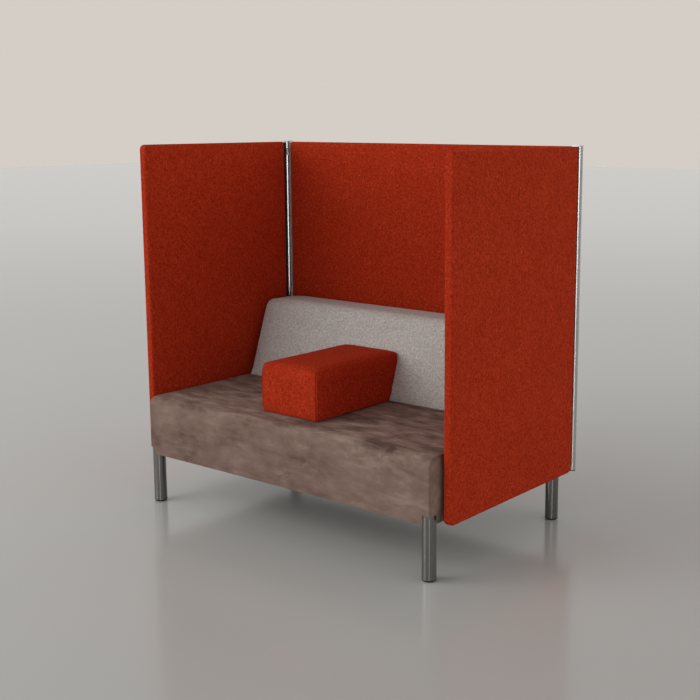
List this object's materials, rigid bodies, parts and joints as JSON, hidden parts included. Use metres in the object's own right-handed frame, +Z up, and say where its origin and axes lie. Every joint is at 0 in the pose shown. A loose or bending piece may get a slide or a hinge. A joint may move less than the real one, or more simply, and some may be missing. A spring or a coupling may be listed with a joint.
{
  "type": "two-seater sofa",
  "caption": "Two-seater sofa with a box seat, wedge backrest and loose arm block between high felt screens that slot into round corner posts.",
  "frame": {"origin": "on the floor, under the middle of the sofa's box", "axes": "+X to the sitter's left along the seat, seen from the front as right; +Y from the front to the back screen; +Z up"},
  "size_m": [1.512, 0.8706, 1.424],
  "materials": {
    "red_felt": "brick red wool felt with darker and lighter fibres",
    "grey_felt": "light grey mottled wool felt",
    "suede": "taupe suede cloth with a brushed nap",
    "foam": "open-cell foam and felt padding",
    "plywood": "plain board",
    "webbing": "woven elastic strap",
    "dust_cloth": "thin black non-woven cloth",
    "satin_steel": "satin steel tube",
    "zinc_steel": "zinc-plated steel",
    "bright_aluminium": "bright anodised extrusion",
    "grey_metal": "grey painted metal",
    "black_metal": "black coated extrusion",
    "black_plastic": "moulded black plastic",
    "grip_rubber": "thin ribless grip sheet"
  },
  "bodies": {
    "sofa": {"left_screen_cover": "red_felt", "right_screen_cover": "red_felt", "back_screen_cover": "red_felt", "backrest_cover": "grey_felt", "seat_cover": "suede", "seat_foam": "foam", "backrest_foam": "foam", "left_screen_padding": "foam", "right_screen_padding": "foam", "back_screen_padding": "foam", "seat_front_rail": "plywood", "seat_rear_rail": "plywood", "seat_left_rail": "plywood", "seat_right_rail": "plywood", "seat_centre_rail": "plywood", "corner_blocks": "plywood", "backrest_rear_board": "plywood", "backrest_base_board": "plywood", "backrest_front_board": "plywood", "backrest_ribs": "plywood", "left_screen_core": "plywood", "right_screen_core": "plywood", "back_screen_core": "plywood", "seat_webbing": "webbing", "dust_cover": "dust_cloth", "leg_front_left": "satin_steel", "leg_front_right": "satin_steel", "leg_rear_left": "satin_steel", "leg_rear_right": "satin_steel", "leg_screws": "zinc_steel", "backrest_uprights": "zinc_steel", "backrest_bolts": "zinc_steel", "screen_bolts": "zinc_steel", "cap_screws": "zinc_steel", "left_corner_post": "bright_aluminium", "right_corner_post": "bright_aluminium", "left_post_cap": "bright_aluminium", "right_post_cap": "bright_aluminium", "locking_keys": "grey_metal", "back_edge_strips": "grey_metal", "left_edge_strip": "black_metal", "right_edge_strip": "black_metal", "leg_plugs": "black_plastic", "post_plugs": "black_plastic", "side_spacers": "black_plastic", "back_spacers": "black_plastic"},
    "armrest": {"armrest_cover": "red_felt", "armrest_foam": "foam", "armrest_core": "plywood", "armrest_base_board": "plywood", "armrest_grip_pad": "grip_rubber"},
    "front_left_glide": {"glide_front_left": "black_plastic"},
    "front_right_glide": {"glide_front_right": "black_plastic"},
    "rear_left_glide": {"glide_rear_left": "black_plastic"},
    "rear_right_glide": {"glide_rear_right": "black_plastic"}
  },
  "joints": [
    {"name": "armrest_shift", "type": "slide", "parent": "sofa", "child": "armrest", "axis": [1, 0, 0], "range_m": [-0.51, 0.585]},
    {"name": "front_left_levelling", "type": "slide", "parent": "sofa", "child": "front_left_glide", "axis": [0, 0, -1], "range_m": [0, 0.012]},
    {"name": "front_right_levelling", "type": "slide", "parent": "sofa", "child": "front_right_glide", "axis": [0, 0, -1], "range_m": [0, 0.012]},
    {"name": "rear_left_levelling", "type": "slide", "parent": "sofa", "child": "rear_left_glide", "axis": [0, 0, -1], "range_m": [0, 0.012]},
    {"name": "rear_right_levelling", "type": "slide", "parent": "sofa", "child": "rear_right_glide", "axis": [0, 0, -1], "range_m": [0, 0.012]}
  ]
}
